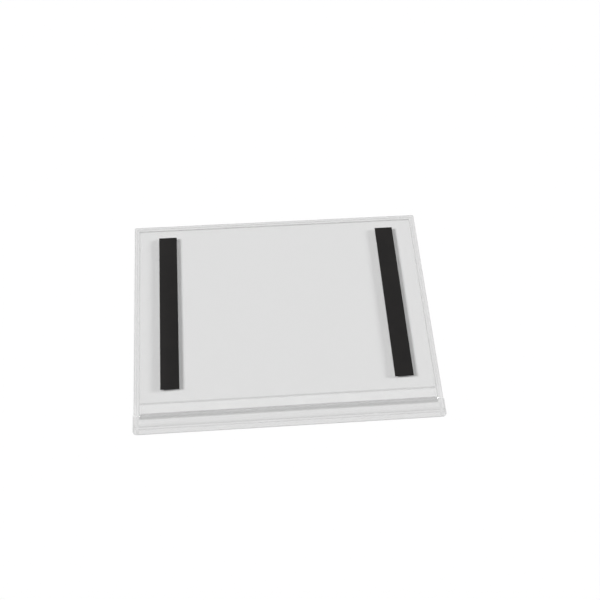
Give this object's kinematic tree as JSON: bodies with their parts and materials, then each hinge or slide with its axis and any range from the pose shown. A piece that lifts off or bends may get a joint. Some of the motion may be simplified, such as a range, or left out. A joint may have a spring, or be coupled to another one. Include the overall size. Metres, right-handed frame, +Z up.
{
  "type": "magnetic document pocket",
  "caption": "Clear sealed film pocket for a landscape sheet, with a tuck-in closing flap and flat magnetic strips on its back film.",
  "frame": {"origin": "on the surface that the pocket lies on, below the middle of its outline", "axes": "+X along the long edge, to the right when the back film faces up and the flap is near the viewer; +Y from the flap towards the far edge; +Z up, out of the back film on the side of the magnetic strips"},
  "size_m": [0.3352, 0.265, 0.0035],
  "materials": {
    "clear_film": "clear gloss film",
    "adhesive_tape": "satin",
    "magnet_rubber": "matte"
  },
  "bodies": {
    "root": {"back_film": "clear_film", "front_film": "clear_film", "closing_flap": "clear_film", "left_adhesive_tape": "adhesive_tape", "right_adhesive_tape": "adhesive_tape", "left_magnetic_strip": "magnet_rubber", "right_magnetic_strip": "magnet_rubber"}
  },
  "joints": []
}
